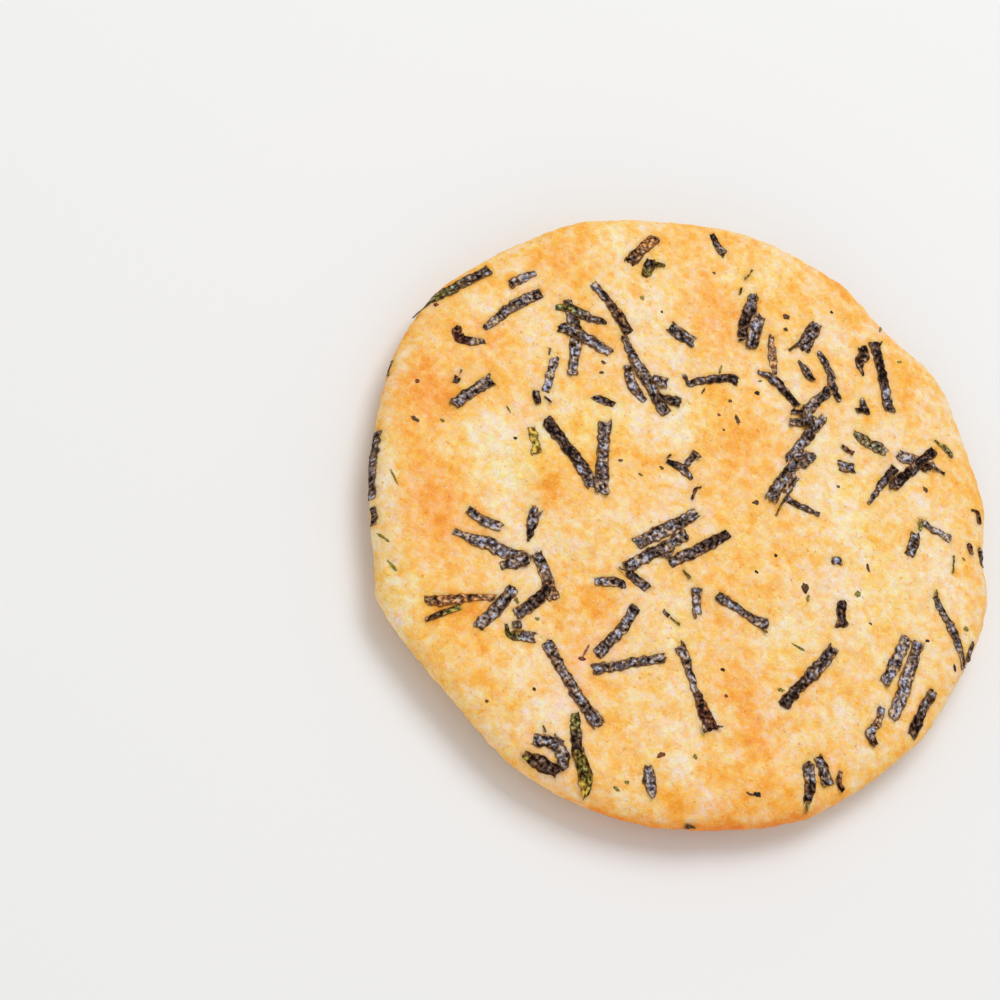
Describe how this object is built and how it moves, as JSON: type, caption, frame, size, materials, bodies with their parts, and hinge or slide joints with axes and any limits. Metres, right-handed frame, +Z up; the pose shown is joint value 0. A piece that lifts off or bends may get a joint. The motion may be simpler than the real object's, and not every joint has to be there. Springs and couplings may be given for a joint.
{
  "type": "japanese rice cracker",
  "caption": "Round puffed rice cracker lying flat, with a golden mottled crust strewn with shreds of dried seaweed.",
  "frame": {"origin": "on the surface the cracker lies on, under the middle of its outline", "axes": "+Z up out of the strewn side; -Y towards the near rim as shown, +X to the right of it"},
  "size_m": [0.089, 0.088, 0.0098],
  "materials": {
    "crust": "baked puffed rice crust, dry and slightly oiled, cream to golden with toasted orange patches",
    "nori": "toasted dried seaweed, near black with green edges, crinkled, with a soft sheen"
  },
  "bodies": {
    "root": {"rice_cracker": "crust"}
  },
  "joints": []
}
